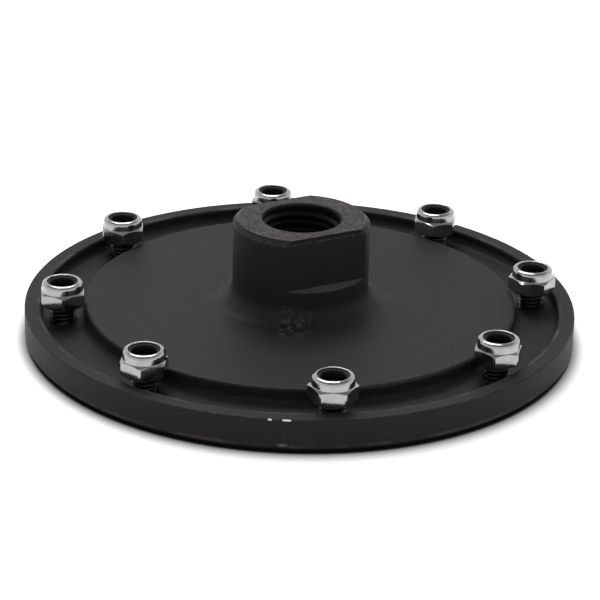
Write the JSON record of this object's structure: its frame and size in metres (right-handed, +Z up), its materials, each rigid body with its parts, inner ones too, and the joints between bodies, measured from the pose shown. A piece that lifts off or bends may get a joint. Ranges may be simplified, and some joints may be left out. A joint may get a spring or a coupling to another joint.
{
  "type": "mower blade adapter",
  "caption": "Round steel blade adapter: a disc with a threaded hub, wrench flats, and a ring of studs with lock nuts standing in a channel.",
  "frame": {"origin": "centre of the flat underside, on the hub's axis", "axes": "+Z up along the hub's axis, +X towards the first stud"},
  "size_m": [0.17, 0.17, 0.038],
  "materials": {
    "phosphated_steel": "satin",
    "black_screw": "satin",
    "bright_plating": "polished",
    "black_nylon": "satin"
  },
  "bodies": {
    "root": {"adapter_body": "phosphated_steel", "stud_screws": "black_screw", "lock_nuts": "bright_plating", "nylon_rings": "black_nylon"}
  },
  "joints": []
}
